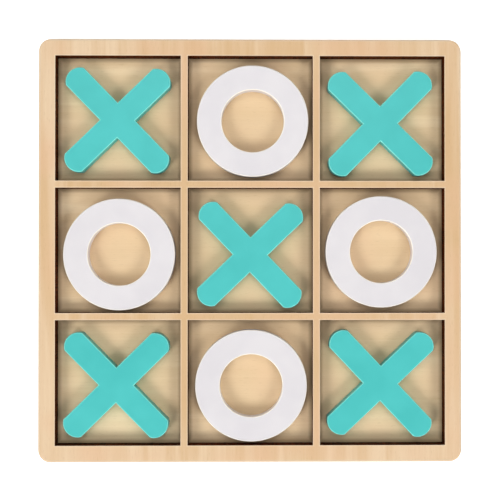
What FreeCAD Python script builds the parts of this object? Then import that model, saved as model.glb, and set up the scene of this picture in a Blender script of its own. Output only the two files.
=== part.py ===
import FreeCAD, Part
import math
import os
import Sketcher

# Tic tac toe set cut from plywood.
# The board is a lattice of nine square cells, glued on a thin base panel.
# Five crosses and four rings lie loose in the cells, a little below the rim.
# Millimetres. +Z is up, +X right and +Y back; the origin is the centre of the board's underside.

SIZES = [
    # name, value, what it is
    ("board_size", 240.0, "outside of the board, along X and along Y"),
    ("board_corner", 7.0, "radius of the board's four upright corners"),
    ("border_width", 9.5, "lattice border, outside to first cell"),
    ("divider_width", 4.0, "lattice strip between two cells"),
    ("frame_height", 9.0, "thickness of the lattice, which is the depth of a cell"),
    ("base_height", 3.0, "thickness of the base panel"),
    ("rim_round", 1.2, "round along the lattice's outer top edge"),
    ("foot_round", 0.8, "round along the base panel's outer bottom edge"),
    ("rim_drop", 1.0, "depth of a piece's top below the rim"),
    ("piece_round", 0.6, "round along the top and bottom edges of every piece"),
    ("ring_gap", 3.75, "clearance from a centred ring to the cell wall"),
    ("ring_band", 14.0, "width of a ring from its hole to its outside"),
    ("cross_gap", 5.7, "clearance from a centred cross to the cell wall"),
    ("arm_width", 14.2, "width of a cross's arm"),
    ("tip_extra", 1.1, "how far the radius of an arm's end exceeds half the arm's width"),
]

CELLS_EACH_WAY = 3

# Sizes that follow from the ones above, as expressions.
DIVIDERS = f"{CELLS_EACH_WAY - 1} * Sizes.divider_width"
CELL = f"((Sizes.board_size - 2 * Sizes.border_width - {DIVIDERS}) / {CELLS_EACH_WAY})"
PITCH = f"({CELL} + Sizes.divider_width)"
PIECE_HEIGHT = "(Sizes.frame_height - Sizes.rim_drop)"
RING_RADIUS = f"({CELL} / 2 - Sizes.ring_gap)"
RING_HOLE = f"({RING_RADIUS} - Sizes.ring_band)"
ARM_HALF = "(Sizes.arm_width / 2)"
TIP_RADIUS = f"({ARM_HALF} + Sizes.tip_extra)"
TIP_CENTRE = f"(({CELL} / 2 - Sizes.cross_gap - {TIP_RADIUS}) * sqrt(2))"

# Each loose piece: name, its column and row counted from the middle cell, then how far it has
# slid to the right and to the back, as a share of its gap, and its turn in degrees.
CROSSES = [
    ("cross_back_left", -1, 1, -0.09, -0.19, -0.9),
    ("cross_back_right", 1, 1, -0.16, -0.49, 0.5),
    ("cross_centre", 0, 0, -0.02, -0.44, -1.2),
    ("cross_front_left", -1, -1, -0.19, -0.26, -0.6),
    ("cross_front_right", 1, -1, -0.17, -0.12, -1.65),
]
RINGS = [
    ("ring_back", 0, 1, 0.35, -0.37, 0.0),
    ("ring_left", -1, 0, 0.13, -0.61, 0.0),
    ("ring_right", 1, 0, -0.13, -0.21, 0.0),
    ("ring_front", 0, -1, 0.11, -0.48, 0.0),
]

UP = FreeCAD.Vector(0, 0, 1)
TOLERANCE = 1e-6
CROSS_ANGLE = 45.0  # a cross's arms point at the cell's corners
RING_ANGLE = 0.0
RIGHT_ANGLE = 90.0

doc = FreeCAD.newDocument("TicTacToeSet")
sheet = doc.addObject("Spreadsheet::Sheet", "Sizes")
for row, (name, value, meaning) in enumerate(SIZES, start=1):
    sheet.set(f"A{row}", name)
    sheet.set(f"B{row}", str(value))
    sheet.set(f"C{row}", meaning)
    sheet.setAlias(f"B{row}", name)
doc.recompute()


def value_of(expression):
    """The number that an expression gives now."""
    return float(sheet.evalExpression(expression))


def origin_feature(body, role):
    """The body's own origin plane or axis with this role."""
    return next(item for item in body.Origin.OriginFeatures if item.Role == role)


def add_body(name):
    """An empty body whose label names its file."""
    body = doc.addObject("PartDesign::Body", name)
    body.Label = name
    return body


def add_sketch(body, name):
    """A sketch on the body's XY plane."""
    sketch = body.newObject("Sketcher::SketchObject", name)
    sketch.AttachmentSupport = [(origin_feature(body, "XY_Plane"), "")]
    sketch.MapMode = "FlatFace"
    return sketch


def constrain(sketch, kind, *parts):
    """Add a constraint with no size."""
    sketch.addConstraint(Sketcher.Constraint(kind, *parts))


def dimension(sketch, name, expression, kind, *parts):
    """Add a named constraint whose size is an expression."""
    index = sketch.addConstraint(Sketcher.Constraint(kind, *parts, value_of(expression)))
    sketch.renameConstraint(index, name)
    sketch.setExpression(f"Constraints.{name}", expression)


def add_square(sketch, reach, side):
    """A square whose left front corner lies reach to the left and reach to the front of the origin."""
    low = -value_of(reach)
    high = low + value_of(side)
    corners = [FreeCAD.Vector(x, y, 0) for x, y in ((low, low), (high, low), (high, high), (low, high))]
    for start, end in zip(corners, corners[1:] + corners[:1]):
        sketch.addGeometry(Part.LineSegment(start, end))
    for line in range(4):
        constrain(sketch, "Coincident", line, 2, (line + 1) % 4, 1)
        constrain(sketch, "Vertical" if line % 2 else "Horizontal", line)
    dimension(sketch, "reach_left", reach, "DistanceX", 0, 1, -1, 1)
    dimension(sketch, "reach_front", reach, "DistanceY", 0, 1, -1, 1)
    dimension(sketch, "side_x", side, "DistanceX", 0, 1, 0, 2)
    dimension(sketch, "side_y", side, "DistanceY", 1, 1, 1, 2)


def add_bar(sketch):
    """One bar of a cross, along X through the origin, with an arc flatter than a half circle at each end."""
    radius = value_of(TIP_RADIUS)
    side = value_of(ARM_HALF)
    angle = math.asin(side / radius)
    centre = FreeCAD.Vector(value_of(TIP_CENTRE), 0, 0)
    end = centre + FreeCAD.Vector(radius * math.cos(angle), side, 0)
    mirrored = FreeCAD.Vector(end.x, -end.y, 0)
    sketch.addGeometry(Part.ArcOfCircle(Part.Circle(centre, UP, radius), -angle, angle))
    sketch.addGeometry(Part.LineSegment(end, -mirrored))
    sketch.addGeometry(Part.ArcOfCircle(Part.Circle(-centre, UP, radius), math.pi - angle, math.pi + angle))
    sketch.addGeometry(Part.LineSegment(-end, mirrored))
    for item in range(4):
        constrain(sketch, "Coincident", item, 2, (item + 1) % 4, 1)
    constrain(sketch, "Horizontal", 1)
    constrain(sketch, "Horizontal", 3)
    constrain(sketch, "PointOnObject", 0, 3, -1)
    constrain(sketch, "PointOnObject", 2, 3, -1)
    constrain(sketch, "Equal", 0, 2)
    dimension(sketch, "tip_radius", TIP_RADIUS, "Radius", 0)
    dimension(sketch, "right_tip", TIP_CENTRE, "DistanceX", -1, 1, 0, 3)
    dimension(sketch, "left_tip", TIP_CENTRE, "DistanceX", 2, 3, -1, 1)
    dimension(sketch, "back_side", ARM_HALF, "DistanceY", -1, 1, 1, 1)
    dimension(sketch, "front_side", ARM_HALF, "DistanceY", 3, 1, -1, 1)


def add_circles(sketch, radii):
    """Circles about the origin, one for each named radius."""
    for index, (name, radius) in enumerate(radii):
        sketch.addGeometry(Part.Circle(FreeCAD.Vector(0, 0, 0), UP, value_of(radius)))
        constrain(sketch, "Coincident", index, 3, -1, 1)
        dimension(sketch, name, radius, "Radius", index)


def add_pad(body, sketch, height):
    """Extrude a sketch upwards."""
    pad = body.newObject("PartDesign::Pad", "Pad")
    pad.Profile = sketch
    pad.setExpression("Length", height)
    doc.recompute()
    return pad


def add_fillet(body, name, keep, radius):
    """Round the edges of the body's tip that keep() accepts."""
    base = body.Tip
    edges = [f"Edge{n}" for n, edge in enumerate(base.Shape.Edges, start=1) if keep(edge)]
    fillet = body.newObject("PartDesign::Fillet", name)
    fillet.Base = (base, edges)
    fillet.setExpression("Radius", radius)
    doc.recompute()


def is_upright(edge):
    """True for a straight edge along Z."""
    box = edge.BoundBox
    return box.XLength < TOLERANCE and box.YLength < TOLERANCE


def lies_at(edge, height):
    """True for an edge that lies flat at this height."""
    box = edge.BoundBox
    return abs(box.ZMin - height) < TOLERANCE and abs(box.ZMax - height) < TOLERANCE


def add_board_slab(body, height):
    """The board's square outline as a slab with its corners rounded."""
    outline = add_sketch(body, "Outline")
    add_square(outline, "Sizes.board_size / 2", "Sizes.board_size")
    add_pad(body, outline, height)
    add_fillet(body, "Corners", is_upright, "Sizes.board_corner")


def add_base_panel():
    """The thin panel that closes the cells from below."""
    body = add_body("base_panel")
    add_board_slab(body, "Sizes.base_height")
    add_fillet(body, "FootRound", lambda edge: lies_at(edge, 0), "Sizes.foot_round")
    return body


def add_grid_frame():
    """The lattice: a border and four dividers, cut in one piece, on top of the base panel."""
    body = add_body("grid_frame")
    add_board_slab(body, "Sizes.frame_height")
    rim = body.Shape.BoundBox.ZMax
    add_fillet(body, "RimRound", lambda edge: lies_at(edge, rim), "Sizes.rim_round")
    cell = add_sketch(body, "Cell")
    add_square(cell, "Sizes.board_size / 2 - Sizes.border_width", CELL)
    pocket = body.newObject("PartDesign::Pocket", "CellCut")
    pocket.Profile = cell
    pocket.Type = "ThroughAll"
    pocket.Reversed = True  # the sketch is on the underside, so the cut goes up
    doc.recompute()
    cells = body.newObject("PartDesign::LinearPattern", "Cells")
    cells.Originals = [pocket]
    cells.Direction = (cell, ["H_Axis"])
    cells.Direction2 = (cell, ["V_Axis"])
    cells.Occurrences = CELLS_EACH_WAY
    cells.Occurrences2 = CELLS_EACH_WAY
    cells.setExpression("Length", f"{CELLS_EACH_WAY - 1} * {PITCH}")
    cells.setExpression("Length2", f"{CELLS_EACH_WAY - 1} * {PITCH}")
    body.Tip = cells
    doc.recompute()
    body.setExpression(".Placement.Base.z", "Sizes.base_height")
    return body


def place_piece(body, piece, gap, angle):
    """Stand a piece on the base panel in its own cell, where it came to rest."""
    name, column, row, right, back, turn = piece
    body.Placement = FreeCAD.Placement(FreeCAD.Vector(0, 0, 0), FreeCAD.Rotation(UP, angle + turn))
    body.setExpression(".Placement.Base.x", f"{column} * {PITCH} + {right} * {gap}")
    body.setExpression(".Placement.Base.y", f"{row} * {PITCH} + {back} * {gap}")
    body.setExpression(".Placement.Base.z", "Sizes.base_height")


def round_piece(body):
    """Round the top and bottom edges of a piece."""
    top = body.Shape.BoundBox.ZMax
    add_fillet(body, "EdgeRound", lambda edge: lies_at(edge, 0) or lies_at(edge, top), "Sizes.piece_round")


def add_cross(piece):
    """A cross: one bar, repeated at a right angle."""
    body = add_body(piece[0])
    bar = add_sketch(body, "Bar")
    add_bar(bar)
    pad = add_pad(body, bar, PIECE_HEIGHT)
    arms = body.newObject("PartDesign::PolarPattern", "Arms")
    arms.Originals = [pad]
    arms.Axis = (origin_feature(body, "Z_Axis"), [""])
    arms.Angle = RIGHT_ANGLE
    arms.Occurrences = 2
    body.Tip = arms
    doc.recompute()
    round_piece(body)
    place_piece(body, piece, "Sizes.cross_gap", CROSS_ANGLE)
    return body


def add_ring(piece):
    """A ring: a disc with a round hole."""
    body = add_body(piece[0])
    circles = add_sketch(body, "Circles")
    add_circles(circles, [("outside", RING_RADIUS), ("hole", RING_HOLE)])
    add_pad(body, circles, PIECE_HEIGHT)
    round_piece(body)
    place_piece(body, piece, "Sizes.ring_gap", RING_ANGLE)
    return body


nodes = [add_base_panel(), add_grid_frame()]
nodes += [add_cross(piece) for piece in CROSSES]
nodes += [add_ring(piece) for piece in RINGS]
doc.recompute()

for item in doc.Objects:
    if "Invalid" in item.State or "Error" in item.State:
        raise RuntimeError(f"{item.Label} did not recompute: {item.State}")
for body in nodes:
    if body.Shape.isNull() or not body.Shape.isValid() or len(body.Shape.Solids) != 1:
        raise RuntimeError(f"{body.Label} is not one valid solid")

os.makedirs("parts", exist_ok=True)
for body in nodes:
    body.Shape.exportStep(f"parts/{body.Label}.step")
    box = body.Shape.optimalBoundingBox()
    print(f"{body.Label:18} {body.Shape.Volume:10.1f} mm3  x {box.XMin:.2f} {box.XMax:.2f}"
          f"  y {box.YMin:.2f} {box.YMax:.2f}  z {box.ZMin:.2f} {box.ZMax:.2f}")
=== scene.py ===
import math
import bpy
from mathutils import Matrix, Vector


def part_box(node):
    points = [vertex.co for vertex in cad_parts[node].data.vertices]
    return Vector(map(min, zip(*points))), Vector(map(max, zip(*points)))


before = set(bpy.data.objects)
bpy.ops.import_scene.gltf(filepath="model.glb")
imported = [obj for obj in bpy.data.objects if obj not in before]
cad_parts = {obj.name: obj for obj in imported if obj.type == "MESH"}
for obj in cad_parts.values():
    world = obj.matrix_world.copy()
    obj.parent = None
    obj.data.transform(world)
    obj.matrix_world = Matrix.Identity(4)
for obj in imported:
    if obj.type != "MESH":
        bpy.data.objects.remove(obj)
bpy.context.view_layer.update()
latticeLow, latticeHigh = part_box("grid_frame")
panelLow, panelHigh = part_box("base_panel")
boardMiddle = (latticeLow + latticeHigh) / 2
wallsAcross = sorted({round(v.co.x - boardMiddle.x, 5)  # where the cells' walls stand, right of the middle
                      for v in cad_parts["grid_frame"].data.vertices if v.co.x > boardMiddle.x})
cellHalf = wallsAcross[0]  # from a cell's middle to its wall
cellPitch = wallsAcross[0] + wallsAcross[1]  # from one cell's middle to the next
cellsAcross = 3  # in both directions
mmPerMetre = 1000  # patterns are drawn in millimetres
print("frame loaded:", len(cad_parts), "pieces, cells", round(2 * cellHalf * mmPerMetre, 1), "mm wide")


def linearColour(hexColour):  # "#rrggbb" in sRGB, as linear red, green, blue and alpha
    channels = [int(hexColour[i:i + 2], 16) / 255 for i in (1, 3, 5)]
    return [c / 12.92 if c <= 0.04045 else ((c + 0.055) / 1.055) ** 2.4 for c in channels] + [1]


def addNode(tree, kind, inputs=None, ramp=(), **settings):  # a node with its settings, values and links
    node = tree.nodes.new("ShaderNode" + kind)
    for name, value in settings.items():
        setattr(node, name, value)
    for i, (position, hexColour) in enumerate(ramp):
        element = node.color_ramp.elements[i] if i < 2 else node.color_ramp.elements.new(position)
        element.position = position
        element.color = linearColour(hexColour)
    for name, value in (inputs or {}).items():
        socket = node.inputs[name] if isinstance(name, int) else next(
            s for s in node.inputs if s.name == name and s.enabled)
        if isinstance(value, bpy.types.Node):
            value = next(s for s in value.outputs if s.enabled)
        if isinstance(value, bpy.types.NodeSocket):
            tree.links.new(value, socket)
        else:
            socket.default_value = linearColour(value) if isinstance(value, str) else value
    return node


def startMaterial(name):  # a material, its tree, the surface point in mm and the way the surface faces
    material = bpy.data.materials.new(name)
    material.use_nodes = True
    tree = material.node_tree
    tree.nodes.clear()
    place = addNode(tree, "TexCoord")
    point = addNode(tree, "VectorMath", {0: place.outputs["Object"], "Scale": mmPerMetre}, operation="SCALE")
    return material, tree, point, place.outputs["Normal"]


def finishMaterial(tree, colour, roughness, height, finish):  # the shader, its bump and the output
    bump = addNode(tree, "Bump", {"Height": height, "Distance": finish["reliefMm"] / mmPerMetre})
    shader = addNode(tree, "BsdfPrincipled", {
        "Base Color": colour, "Roughness": roughness, "Normal": bump, "IOR": finish["ior"],
        "Specular IOR Level": finish["specular"]})
    addNode(tree, "OutputMaterial", {"Surface": shader})


# birch veneer, peeled and sanded: pale straw, soft figure, short dark pores along the grain
veneer = {
    "fibreMm": (40.0, 0.9),  # long and across; real fibres are 0.1 mm across, drawn coarser to show
    "fibreShare": 0.35,  # how much the fibres break up the figure
    "figureMm": (150.0, 9.0),
    "strawToPale": (0.33, 0.62),  # where the figure turns from straw to pale
    "poreMm": (4.0, 0.5),  # real pores are 0.1 mm across, drawn coarser to show
    "poreEdge": (0.62, 0.72),  # only the highest spots of the pattern are pores
    "poreDepth": 0.14,
    "blotchMm": 38.0,
    "blotchEdge": (0.48, 0.68),  # soft pinker patches
    "blotchDepth": 0.6,
    "heartMm": ((8.0, 16.0), (138.0, 132.0)),  # middle and half size of the warmer heart of the sheet
    "heartEdge": (1.1, 1.7),  # where the heart fades out, made ragged by the figure
    "heartDepth": 0.6,
    "lattice": {
        "pale": "#ebd0ae",
        "straw": "#e3c39d",
        "flush": "#e6be99",
        "pore": "#b08a60",
        "heart": "#d6ae7c",
    },
    "panel": {
        "pale": "#f2d9b3",
        "straw": "#e6c99e",
        "flush": "#e9c8a2",
        "pore": "#ab8a5e",
        "heart": "#e0c29a",
    },
}


def stretch(grain, size):  # pattern scale along X, Y and Z for a grain that runs along X or Y
    long, across = size
    return (1 / long, 1 / across, 1 / across) if grain == "X" else (1 / across, 1 / long, 1 / across)


def veneerFace(tree, point, grain, shades):  # the colour and the height of a face veneer
    fibre = addNode(tree, "TexNoise", {"Scale": 1, "Detail": 3, "Roughness": 0.6, "Vector": addNode(
        tree, "Mapping", {"Vector": point, "Scale": stretch(grain, veneer["fibreMm"])})})
    figure = addNode(tree, "TexNoise", {"Scale": 1, "Detail": 2, "Distortion": 0.8, "Vector": addNode(
        tree, "Mapping", {"Vector": point, "Scale": stretch(grain, veneer["figureMm"])})})
    pore = addNode(tree, "TexNoise", {"Scale": 1, "Detail": 1, "Vector": addNode(
        tree, "Mapping", {"Vector": point, "Scale": stretch(grain, veneer["poreMm"])})})
    blotch = addNode(tree, "TexNoise", {"Scale": 1 / veneer["blotchMm"], "Detail": 2, "Vector": point})
    streak = addNode(tree, "Mix", {"Factor": veneer["fibreShare"], "A": figure, "B": fibre},
                     data_type="FLOAT")
    strawAt, paleAt = veneer["strawToPale"]
    wood = addNode(tree, "ValToRGB", {0: streak},
                   ramp=((strawAt, shades["straw"]), (paleAt, shades["pale"])))
    (middleX, middleY), (halfX, halfY) = veneer["heartMm"]
    fromHeart = addNode(tree, "VectorMath", {0: addNode(tree, "Mapping", {
        "Vector": point, "Location": (-middleX / halfX, -middleY / halfY, 0),
        "Scale": (1 / halfX, 1 / halfY, 0)})}, operation="LENGTH")  # 1 on the heart's rim
    ragged = addNode(tree, "Math", {0: fromHeart.outputs["Value"], 1: figure}, operation="ADD")
    heart = addNode(tree, "MapRange", {
        "Value": ragged, "From Min": veneer["heartEdge"][0], "From Max": veneer["heartEdge"][1],
        "To Min": veneer["heartDepth"], "To Max": 0}, interpolation_type="SMOOTHSTEP")
    hearted = addNode(tree, "Mix", {"Factor": heart, "A": wood, "B": shades["heart"]}, data_type="RGBA")
    flush = addNode(tree, "MapRange", {
        "Value": blotch, "From Min": veneer["blotchEdge"][0], "From Max": veneer["blotchEdge"][1],
        "To Max": veneer["blotchDepth"]})
    flushed = addNode(tree, "Mix", {"Factor": flush, "A": hearted, "B": shades["flush"]}, data_type="RGBA")
    pit = addNode(tree, "MapRange", {
        "Value": pore, "From Min": veneer["poreEdge"][0], "From Max": veneer["poreEdge"][1],
        "To Max": veneer["poreDepth"]})
    colour = addNode(tree, "Mix", {"Factor": pit, "A": flushed, "B": shades["pore"]}, data_type="RGBA")
    height = addNode(tree, "Math", {0: fibre, 1: pit}, operation="SUBTRACT")
    return colour, height


# plywood edge, sawn and sanded: long grain and end grain in turn, with a dark glue line between plies
plyEdge = {
    "longGrain": "#ddc6a2",
    "endGrain": "#c6a67a",
    "glue": "#8a5f38",
    "glueMm": 0.16,  # real glue lines are 0.05 mm, drawn wider to show
    "glueDepth": 0.75,
    "speckMm": (1.6, 0.35),  # along the edge and up it; real pores are 0.1 mm, drawn coarser to show
    "speckEdge": (0.5, 0.75),
    "speckDepth": 0.3,
    "cornerTurn": (0.45, 0.9),  # how far a rounded corner faces sideways where the grains change over
}
charAndShade = {  # a laser cuts the cells, and leaves their walls brown and streaked from top to bottom; the panel beside the walls gets painted shade
    "char": "#2a1205",
    "scorch": "#8a4a16",
    "soot": (0.25, 0.85),  # where the streaks are char and where they are scorch
    "climb": (-0.16, 0.14),  # darker at the foot of a wall, lighter at its top
    "paintedWallShade": "#63401f",
    "wallShadeMm": 3.0,  # painted shade darkens the panel this far from a cell's walls
    "wallShadeDepth": 0.55,
    "streakMm": (0.8, 12.0),  # along the wall and up it; the beam's marks are 0.1 mm, drawn coarser to show
}
board = {
    "latticePlies": 7,
    "panelPlies": 3,
    "upright": (0.75, 0.55),  # how far up a rounding faces where face veneer gives way to edge
    "sideBandMm": 5.0,  # upright wood this close to the board's outside is sanded edge, the rest is cut wall
    "edgeHighlightMm": 0.8,  # painted highlight: the cells' top edges a little paler, as a catch-light along them
    "edgeHighlight": "#f6e6cf",
    "edgeHighlightDepth": 0.45,
    "rimMm": 1.6,  # painted sheen: the rounded rim of the board greyer, as where it reflects the pale table
    "rim": "#dccab4",
    "rimSheenDepth": 0.8,
    "roughness": 0.62,
    "charRoughness": 0.85,
    "ior": 1.5,
    "specular": 0.06,  # bare wood scatters more than it shines
    "reliefMm": 0.02,
}


def plyLayers(tree, point, normal, low, high, plies, faceGrain):  # colour of the edge between two heights
    axes = addNode(tree, "SeparateXYZ", {0: point})
    facing = addNode(tree, "SeparateXYZ", {0: normal})
    depth = addNode(tree, "MapRange", {"Value": axes.outputs["Z"], "From Min": low * mmPerMetre,
                                       "From Max": high * mmPerMetre, "To Max": plies}, clamp=False)
    ply = addNode(tree, "Math", {0: depth}, operation="FLOOR")
    odd = addNode(tree, "Math", {0: ply, 1: 2}, operation="FLOORED_MODULO")
    sideways = addNode(tree, "MapRange", {  # 1 on the left and right sides, 0 at the front and back
        "Value": addNode(tree, "Math", {0: facing.outputs["X"]}, operation="ABSOLUTE"),
        "From Min": plyEdge["cornerTurn"][0], "From Max": plyEdge["cornerTurn"][1]},
        interpolation_type="SMOOTHSTEP")
    alongX = addNode(tree, "Math", {0: 1, 1: sideways}, operation="SUBTRACT")
    ends = addNode(tree, "Math", {0: odd, 1: sideways if faceGrain == "X" else alongX},
                   operation="SUBTRACT")
    isEnd = addNode(tree, "Math", {0: ends}, operation="ABSOLUTE")
    along, up = plyEdge["speckMm"]
    speck = addNode(tree, "TexNoise", {"Scale": 1, "Detail": 2, "Vector": addNode(
        tree, "Mapping", {"Vector": point, "Scale": (1 / along, 1 / along, 1 / up)})})
    shade = addNode(tree, "Mix", {"Factor": isEnd, "A": plyEdge["longGrain"], "B": plyEdge["endGrain"]},
                    data_type="RGBA")
    dark = addNode(tree, "MapRange", {
        "Value": speck, "From Min": plyEdge["speckEdge"][0], "From Max": plyEdge["speckEdge"][1],
        "To Max": plyEdge["speckDepth"]})
    specked = addNode(tree, "Mix", {"Factor": dark, "A": shade, "B": plyEdge["glue"]}, data_type="RGBA")
    fromGlue = addNode(tree, "Math", {0: depth, 1: 1}, operation="PINGPONG")
    plyMm = (high - low) * mmPerMetre / plies
    line = addNode(tree, "MapRange", {
        "Value": fromGlue, "From Min": plyEdge["glueMm"] / 2 / plyMm, "From Max": plyEdge["glueMm"] / plyMm,
        "To Min": plyEdge["glueDepth"], "To Max": 0})
    return addNode(tree, "Mix", {"Factor": line, "A": specked, "B": plyEdge["glue"]}, data_type="RGBA")


def facingUp(tree, normal):  # how far the surface faces up: 1 on the flat, 0 on a wall
    return addNode(tree, "SeparateXYZ", {0: normal}).outputs["Z"]


def uprightWood(tree, tilt):  # 1 on walls and edges, 0 on flat faces
    flatFrom, edgeFrom = board["upright"]
    return addNode(tree, "MapRange", {"Value": tilt, "From Min": edgeFrom, "From Max": flatFrom,
                                      "To Min": 1, "To Max": 0})


def outFromMiddle(tree, point):  # mm from the board's middle along X and along Y
    axes = addNode(tree, "SeparateXYZ", {0: point})
    return [addNode(tree, "Math", {0: axes.outputs[axis]}, operation="ABSOLUTE") for axis in "XY"]


def besideCell(tree, point):  # mm from the nearest cell's middle, along X or Y, the longer
    gridHalfMm = cellsAcross / 2 * cellPitch * mmPerMetre
    withinGrid = [addNode(tree, "Math", {0: distance, 1: gridHalfMm}, operation="MINIMUM")
                  for distance in outFromMiddle(tree, point)]
    fromCell = [addNode(tree, "Math", {0: distance, 1: cellPitch / 2 * mmPerMetre}, operation="PINGPONG")
                for distance in withinGrid]
    return addNode(tree, "Math", {0: fromCell[0], 1: fromCell[1]}, operation="MAXIMUM")


def laserCutPly():  # sanded birch plywood, with the cells' walls browned by the laser that cut them
    material, tree, point, normal = startMaterial("laserCutBirchPly")
    colour, height = veneerFace(tree, point, "Y", veneer["lattice"])
    edge = plyLayers(tree, point, normal, latticeLow.z, latticeHigh.z, board["latticePlies"], "Y")
    along, up = charAndShade["streakMm"]
    streak = addNode(tree, "TexNoise", {"Scale": 1, "Detail": 3, "Roughness": 0.6, "Vector": addNode(
        tree, "Mapping", {"Vector": point, "Scale": (1 / along, 1 / along, 1 / up)})})
    climb = addNode(tree, "MapRange", {
        "Value": addNode(tree, "SeparateXYZ", {0: point}).outputs["Z"],
        "From Min": latticeLow.z * mmPerMetre, "From Max": latticeHigh.z * mmPerMetre,
        "To Min": charAndShade["climb"][0], "To Max": charAndShade["climb"][1]})
    burn = addNode(tree, "Math", {0: streak, 1: climb}, operation="ADD")
    charAt, scorchAt = charAndShade["soot"]
    soot = addNode(tree, "ValToRGB", {0: burn}, ramp=((charAt, charAndShade["char"]), (scorchAt, charAndShade["scorch"])))
    wall = addNode(tree, "Mix", {"Factor": 1, "A": edge, "B": soot}, data_type="RGBA",
                   blend_type="MULTIPLY")  # the plies still show faintly through the soot
    outX, outY = outFromMiddle(tree, point)
    furthest = addNode(tree, "Math", {0: outX, 1: outY}, operation="MAXIMUM")
    outerEdge = latticeHigh.x * mmPerMetre
    outside = addNode(tree, "Math", {0: furthest, 1: outerEdge - board["sideBandMm"]},
                      operation="GREATER_THAN")
    side = addNode(tree, "Mix", {"Factor": outside, "A": wall, "B": edge}, data_type="RGBA")
    # painted highlight: a paler strip along the cells' top edges
    edgeHighlight = addNode(tree, "MapRange", {
        "Value": besideCell(tree, point), "From Min": cellHalf * mmPerMetre,
        "From Max": cellHalf * mmPerMetre + board["edgeHighlightMm"], "To Min": board["edgeHighlightDepth"], "To Max": 0})
    # painted sheen: the board's rounded rim drawn greyer and paler
    rim = addNode(tree, "MapRange", {"Value": furthest, "From Min": outerEdge - board["rimMm"],
                                     "From Max": outerEdge, "To Max": board["rimSheenDepth"]})
    highlighted = addNode(tree, "Mix", {"Factor": edgeHighlight, "A": colour, "B": board["edgeHighlight"]}, data_type="RGBA")
    sheened = addNode(tree, "Mix", {"Factor": rim, "A": highlighted, "B": board["rim"]}, data_type="RGBA")
    upright = uprightWood(tree, facingUp(tree, normal))
    finished = addNode(tree, "Mix", {"Factor": upright, "A": sheened, "B": side}, data_type="RGBA")
    charred = addNode(tree, "Math", {0: upright, 1: outside}, operation="GREATER_THAN")
    roughness = addNode(tree, "Mix", {
        "Factor": charred, "A": board["roughness"], "B": board["charRoughness"]}, data_type="FLOAT")
    finishMaterial(tree, finished, roughness, height, board)
    return material


def sandedPly():  # the board's thin bottom panel, its grain across that of the lattice
    material, tree, point, normal = startMaterial("sandedBirchPly")
    colour, height = veneerFace(tree, point, "X", veneer["panel"])
    edge = plyLayers(tree, point, normal, panelLow.z, panelHigh.z, board["panelPlies"], "X")
    upward = facingUp(tree, normal)
    upright = uprightWood(tree, addNode(tree, "Math", {0: upward}, operation="ABSOLUTE"))
    # painted shade: the panel darkened beside the cells' walls, where their shade falls
    shadeFromWall = addNode(tree, "MapRange", {
        "Value": besideCell(tree, point), "From Min": cellHalf * mmPerMetre - charAndShade["wallShadeMm"],
        "From Max": cellHalf * mmPerMetre, "To Max": charAndShade["wallShadeDepth"]}, interpolation_type="SMOOTHSTEP")
    onTop = addNode(tree, "Math", {0: upward, 1: 0.5}, operation="GREATER_THAN")  # not on the underside
    paintedWallShade = addNode(tree, "Math", {0: shadeFromWall, 1: onTop}, operation="MULTIPLY")
    wallShaded = addNode(tree, "Mix", {"Factor": paintedWallShade, "A": colour, "B": charAndShade["paintedWallShade"]}, data_type="RGBA")
    finished = addNode(tree, "Mix", {"Factor": upright, "A": wallShaded, "B": edge}, data_type="RGBA")
    finishMaterial(tree, finished, board["roughness"], height, board)
    return material


# satin enamel, sprayed on wood: even colour with a painted highlight along the rounded edges, a soft sheen
# and a faint orange peel
enamel = {
    # each edge shade is the painted highlight colour for the rounded edges
    "turquoise": {"coat": ("#4ecac6", "#49c4c0"), "edge": "#82e8dc"},
    "white": {"coat": ("#e8e4e6", "#e3dfe2"), "edge": "#fffaf0"},
    "highlightTop": (0.998, 0.97),  # painted highlight: the coat drawn lighter over a rounding, from just off flat
    "highlightFoot": (0.1, 0.3),  # down to just off upright
    "cloudMm": 18.0,
    "cloudEdge": (0.35, 0.65),  # where the clouds turn from the darker coat to the lighter
    "cloudSpread": (0.3, 0.7),  # and where they turn from smoother to rougher
    "peelMm": 1.6,
    "grainMm": (14.0, 0.7),  # the wood's grain shows faintly through the paint
    "grainShare": 0.5,
    "roughness": 0.4,
    "roughnessSwing": 0.03,
    "ior": 1.5,
    "specular": 0.42,
    "reliefMm": 0.012,
}


def satinEnamel(name, shades):  # paint in the given shades
    material, tree, point, normal = startMaterial(name)
    cloud = addNode(tree, "TexNoise", {"Scale": 1 / enamel["cloudMm"], "Detail": 2, "Vector": point})
    peel = addNode(tree, "TexNoise", {"Scale": 1 / enamel["peelMm"], "Detail": 1, "Vector": point})
    grain = addNode(tree, "TexNoise", {"Scale": 1, "Detail": 2, "Vector": addNode(
        tree, "Mapping", {"Vector": point, "Scale": stretch("X", enamel["grainMm"])})})
    lightCoat, darkCoat = shades["coat"]
    darkAt, lightAt = enamel["cloudEdge"]
    coat = addNode(tree, "ValToRGB", {0: cloud}, ramp=((darkAt, darkCoat), (lightAt, lightCoat)))
    upward = facingUp(tree, normal)
    # painted highlight: a lighter coat over the rounded edges, as where they catch the light
    belowTop, aboveWall = [addNode(tree, "MapRange", {"Value": upward, "From Min": start, "From Max": end})
                           for start, end in (enamel["highlightTop"], enamel["highlightFoot"])]
    rounded = addNode(tree, "Math", {0: belowTop, 1: aboveWall}, operation="MULTIPLY")
    colour = addNode(tree, "Mix", {"Factor": rounded, "A": coat, "B": shades["edge"]}, data_type="RGBA")
    height = addNode(tree, "Mix", {"Factor": enamel["grainShare"], "A": peel, "B": grain}, data_type="FLOAT")
    roughness = addNode(tree, "MapRange", {
        "Value": cloud, "From Min": enamel["cloudSpread"][0], "From Max": enamel["cloudSpread"][1],
        "To Min": enamel["roughness"] - enamel["roughnessSwing"],
        "To Max": enamel["roughness"] + enamel["roughnessSwing"]})
    finishMaterial(tree, colour, roughness, height, enamel)
    return material


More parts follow.
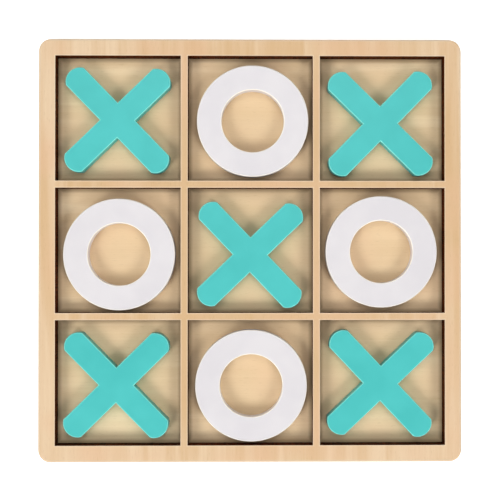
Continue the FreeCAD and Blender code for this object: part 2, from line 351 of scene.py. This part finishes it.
finishes = {  # by a board piece's name, or by the first word of a playing piece's name
    "grid_frame": laserCutPly(),
    "base_panel": sandedPly(),
    "cross": satinEnamel("turquoiseSatinEnamel", enamel["turquoise"]),
    "ring": satinEnamel("whiteSatinEnamel", enamel["white"]),
}
for name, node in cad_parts.items():
    kind = name if name in finishes else name.split("_")[0]
    node.data.materials.clear()
    node.data.materials.append(finishes[kind])
print("finishes on")


# studio: a glowing round table, soft boxes in front and around, and a pale wall behind it all
studio = {
    "tableRadius": 1.3,
    "tableDrop": 0.0002,  # the table's top is this far under the board
    "tableSides": 128,
    "tableWhite": ("#f5f5f5", "#f9f9f9"),
    "tableMottleMm": 100.0,
    "tableRoughness": 0.6,
    "tableGlow": 0.5,
    "ceiling": 0.1,  # brightness of the room overhead
    "wall": 1.0,  # and of its pale wall
    "wallHeights": (0.15, 0.32),  # where the wall fades out, as the sine of the angle above the table
    "boxes": (  # name, degrees round from the right-hand side, degrees up, distance, width, watts
        ("frontLeftBox", -135, 43, 2.6, 0.9, 27.0),
        ("frontRightBox", -45, 43, 2.6, 0.9, 23.5),
        ("leftBox", 180, 42, 2.6, 1.2, 10.6),
        ("rightBox", 0, 42, 2.6, 1.2, 7.6),
        ("backBox", 90, 64, 1.3, 0.65, 3.3),
        ("overheadBox", 90, 78, 2.6, 1.45, 4.6),
    ),
}


def layTable():
    mesh = bpy.data.meshes.new("table")
    radius = studio["tableRadius"]
    turns = [2 * math.pi * i / studio["tableSides"] for i in range(studio["tableSides"])]
    rim = [(radius * math.cos(turn), radius * math.sin(turn), -studio["tableDrop"]) for turn in turns]
    mesh.from_pydata(rim, [], [range(len(rim))])
    table = bpy.data.objects.new("table", mesh)
    bpy.context.scene.collection.objects.link(table)
    material, tree, point, _ = startMaterial("opalAcrylic")
    mottle = addNode(tree, "TexNoise", {"Scale": 1 / studio["tableMottleMm"], "Detail": 2, "Vector": point})
    dim, bright = studio["tableWhite"]
    white = addNode(tree, "ValToRGB", {0: mottle}, ramp=((0.3, dim), (0.7, bright)))
    shader = addNode(tree, "BsdfPrincipled", {
        "Base Color": white, "Roughness": studio["tableRoughness"], "Emission Color": "#ffffff",
        "Emission Strength": studio["tableGlow"]})
    addNode(tree, "OutputMaterial", {"Surface": shader})
    mesh.materials.append(material)


def hangBoxes():  # each box faces the board's middle
    for name, azimuth, elevation, distance, width, watts in studio["boxes"]:
        light = bpy.data.lights.new(name, "AREA")
        light.size = width
        light.energy = watts
        lamp = bpy.data.objects.new(name, light)
        bpy.context.scene.collection.objects.link(lamp)
        around, up = math.radians(azimuth), math.radians(elevation)
        away = Vector((math.cos(around) * math.cos(up), math.sin(around) * math.cos(up), math.sin(up)))
        lamp.location = boardMiddle + away * distance
        lamp.rotation_euler = (-away).to_track_quat("-Z", "Y").to_euler()


def paintRoom():
    world = bpy.data.worlds.new("studioRoom")
    world.use_nodes = True
    tree = world.node_tree
    tree.nodes.clear()
    upward = addNode(tree, "SeparateXYZ", {0: addNode(tree, "TexCoord").outputs["Generated"]})
    wallFoot, wallTop = studio["wallHeights"]
    brightness = addNode(tree, "MapRange", {
        "Value": upward.outputs["Z"], "From Min": wallFoot, "From Max": wallTop,
        "To Min": studio["wall"], "To Max": studio["ceiling"]}, interpolation_type="SMOOTHSTEP")
    background = addNode(tree, "Background", {"Color": "#ffffff", "Strength": brightness})
    addNode(tree, "OutputWorld", {"Surface": background})
    bpy.context.scene.world = world


camera = {
    "height": 0.55,  # from the lens down to the board's rim
    "right": 0.003,  # the lens stands just right of the board's middle and in front of it,
    "front": 0.004,
    "aimRight": 0.01,  # and turns a little further to the right
    "aimFront": -0.0002,
    "shiftX": -0.0359,  # brings the board back to the middle of the frame
    "lensMm": 69.81,
}


def placeCamera():
    data = bpy.data.cameras.new("overheadCamera")
    data.lens = camera["lensMm"]
    data.shift_x = camera["shiftX"]
    eye = bpy.data.objects.new("overheadCamera", data)
    bpy.context.scene.collection.objects.link(eye)
    eye.location = (boardMiddle.x + camera["right"], boardMiddle.y - camera["front"],
                    latticeHigh.z + camera["height"])
    pitch = math.atan2(camera["front"] - camera["aimFront"], camera["height"])
    turn = math.atan2(camera["right"] - camera["aimRight"], camera["height"])
    eye.rotation_euler = (pitch, turn, 0)
    bpy.context.scene.camera = eye


layTable()
hangBoxes()
paintRoom()
placeCamera()
bpy.context.scene.view_settings.view_transform = "Standard"
print("studio set")
